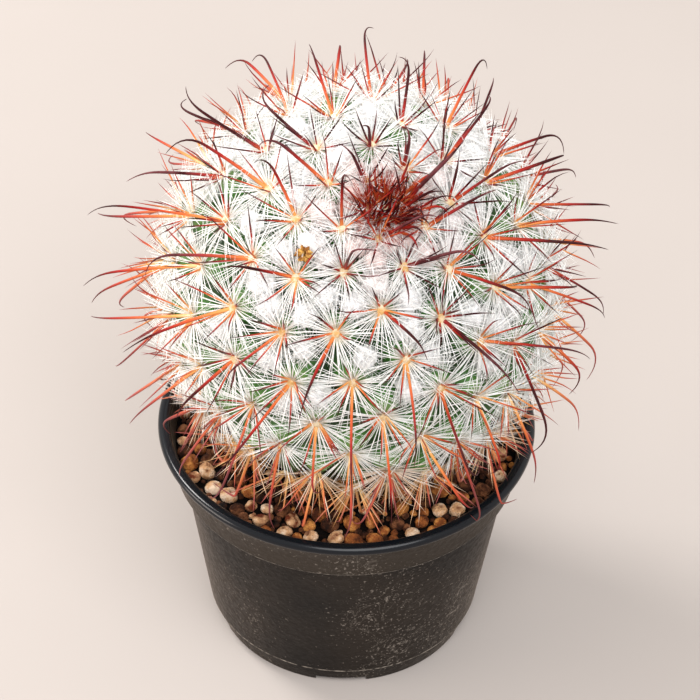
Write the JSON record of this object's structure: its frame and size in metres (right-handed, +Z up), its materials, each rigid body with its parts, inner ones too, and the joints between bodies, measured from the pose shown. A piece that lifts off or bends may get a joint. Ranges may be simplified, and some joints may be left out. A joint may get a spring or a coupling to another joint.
{
  "type": "potted round cactus",
  "caption": "Round hook-spined cactus with white radial spines and maroon centrals, growing in grit in a black plastic nursery pot.",
  "frame": {"origin": "on the pot's axis, at the surface that the foot ring stands on", "axes": "+Z up along the pot's axis, -Y to the front, the side that the growing point leans towards"},
  "size_m": [0.1188, 0.1217, 0.1513],
  "materials": {
    "pot_plastic": "black moulded polypropylene, scuffed and dusty, satin on the rim bead",
    "grit": "dry rounded clay and pumice granules in cream, ochre and brown",
    "cactus_skin": "waxy deep green skin with white wool between the tubercles",
    "spine_white": "fine glassy white bristles",
    "spine_red": "horny spines, yellow at the base, orange-red to dark maroon at the tip",
    "wool": "fine white wool"
  },
  "bodies": {
    "root": {"pot": "pot_plastic", "soil": "grit", "cactus": "cactus_skin"}
  },
  "joints": []
}
